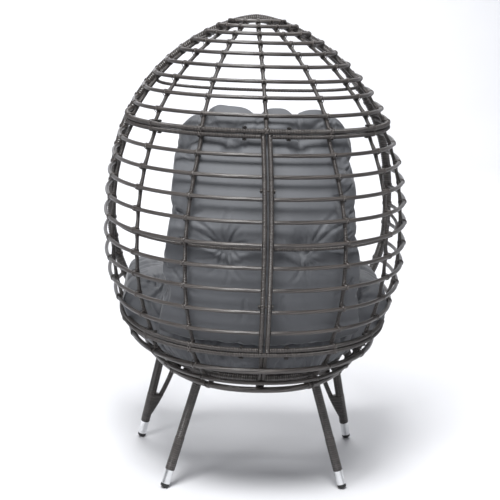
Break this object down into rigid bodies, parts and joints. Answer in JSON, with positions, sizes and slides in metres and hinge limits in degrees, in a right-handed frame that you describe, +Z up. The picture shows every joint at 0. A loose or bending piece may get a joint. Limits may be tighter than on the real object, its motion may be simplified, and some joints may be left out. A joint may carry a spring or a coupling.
{
  "type": "egg chair",
  "caption": "Free-standing egg chair: an open egg shell of wound rattan rungs and ribs on splayed legs, with screw-out feet and a lift-out tufted cushion.",
  "frame": {"origin": "on the floor, under the middle of the chair's bounding box", "axes": "+Z up; the opening faces -Y and the back's seam is on +Y; +X is the left of a person sitting in it"},
  "size_m": [0.9578, 0.778, 1.413],
  "materials": {
    "wound_resin": "satin flat resin strand wound closely over steel tube",
    "sleeve_metal": "polished",
    "foot_plastic": "moulded black",
    "bolt_steel": "blackened",
    "cushion_cloth": "plain woven polyester"
  },
  "bodies": {
    "frame": {"dome_front_arch": "wound_resin", "dome_hoop": "wound_resin", "dome_rungs": "wound_resin", "dome_inner_hoop": "wound_resin", "dome_centre_rib": "wound_resin", "dome_ribs": "wound_resin", "left_top_rail": "wound_resin", "left_bottom_rail": "wound_resin", "left_rungs": "wound_resin", "left_inner_hoop": "wound_resin", "left_seam_rail": "wound_resin", "left_ribs": "wound_resin", "left_front_rail": "wound_resin", "right_top_rail": "wound_resin", "right_bottom_rail": "wound_resin", "right_rungs": "wound_resin", "right_inner_hoop": "wound_resin", "right_seam_rail": "wound_resin", "right_ribs": "wound_resin", "right_front_rail": "wound_resin", "bowl_hoop": "wound_resin", "bowl_upper_rung": "wound_resin", "bowl_lower_rung": "wound_resin", "bowl_front_bar": "wound_resin", "bowl_ribs": "wound_resin", "bowl_centre_rib": "wound_resin", "base_hoop": "wound_resin", "base_cross_bars": "wound_resin", "seat_ring": "wound_resin", "seat_slats": "wound_resin", "front_left_leg": "wound_resin", "front_left_leg_brace": "wound_resin", "front_left_leg_web": "wound_resin", "front_right_leg": "wound_resin", "front_right_leg_brace": "wound_resin", "front_right_leg_web": "wound_resin", "rear_left_leg": "wound_resin", "rear_left_leg_brace": "wound_resin", "rear_left_leg_web": "wound_resin", "rear_right_leg": "wound_resin", "rear_right_leg_brace": "wound_resin", "rear_right_leg_web": "wound_resin", "front_left_sleeve": "sleeve_metal", "front_right_sleeve": "sleeve_metal", "rear_left_sleeve": "sleeve_metal", "rear_right_sleeve": "sleeve_metal", "leg_inserts": "foot_plastic", "dome_bolts": "bolt_steel", "bowl_bolts": "bolt_steel", "seam_bolts": "bolt_steel"},
    "cushion": {"back_pad": "cushion_cloth", "seat_pad": "cushion_cloth"},
    "front_left_glide": {"front_left_foot": "foot_plastic"},
    "front_right_glide": {"front_right_foot": "foot_plastic"},
    "rear_left_glide": {"rear_left_foot": "foot_plastic"},
    "rear_right_glide": {"rear_right_foot": "foot_plastic"}
  },
  "joints": [
    {"name": "front_left_levelling", "type": "slide", "parent": "frame", "child": "front_left_glide", "axis": [0.2001, -0.1223, -0.9721], "range_m": [0, 0.012]},
    {"name": "front_right_levelling", "type": "slide", "parent": "frame", "child": "front_right_glide", "axis": [-0.2001, -0.1223, -0.9721], "range_m": [0, 0.012]},
    {"name": "rear_left_levelling", "type": "slide", "parent": "frame", "child": "rear_left_glide", "axis": [0.2784, 0.1087, -0.9543], "range_m": [0, 0.012]},
    {"name": "rear_right_levelling", "type": "slide", "parent": "frame", "child": "rear_right_glide", "axis": [-0.2784, 0.1087, -0.9543], "range_m": [0, 0.012]},
    {"name": "cushion_lift_out", "type": "slide", "parent": "frame", "child": "cushion", "axis": [0, -0.978, 0.2086], "range_m": [0, 0.35]}
  ]
}
